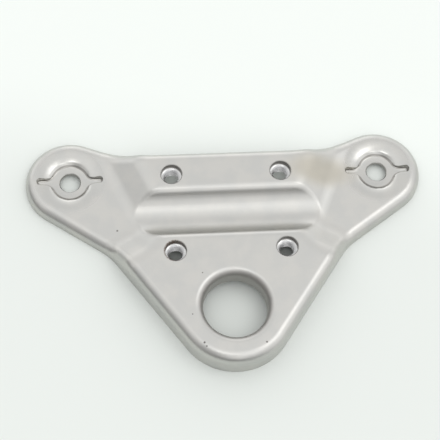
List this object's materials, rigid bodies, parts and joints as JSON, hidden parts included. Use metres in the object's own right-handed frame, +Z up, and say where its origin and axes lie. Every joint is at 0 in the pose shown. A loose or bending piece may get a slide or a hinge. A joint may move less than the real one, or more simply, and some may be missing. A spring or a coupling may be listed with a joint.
{
  "type": "motorcycle triple clamp, upper fork bridge",
  "caption": "Pressed sheet-steel upper fork bridge with a flanged stem hole, a handlebar saddle between welded clamp nuts, and dished fork-leg seats on its lowered arms.",
  "frame": {"origin": "on the stem axis, at the lower end of the stem collar", "axes": "+X to the right fork leg, +Y from the stem to the fork legs, +Z up along the stem"},
  "size_m": [0.1672, 0.1038, 0.0125],
  "materials": {
    "plated_sheet": "satin zinc plate on pressed steel sheet",
    "plated_nuts": "bright zinc plate"
  },
  "bodies": {
    "root": {"bridge_plate": "plated_sheet", "clamp_weld_nuts": "plated_nuts"}
  },
  "joints": []
}
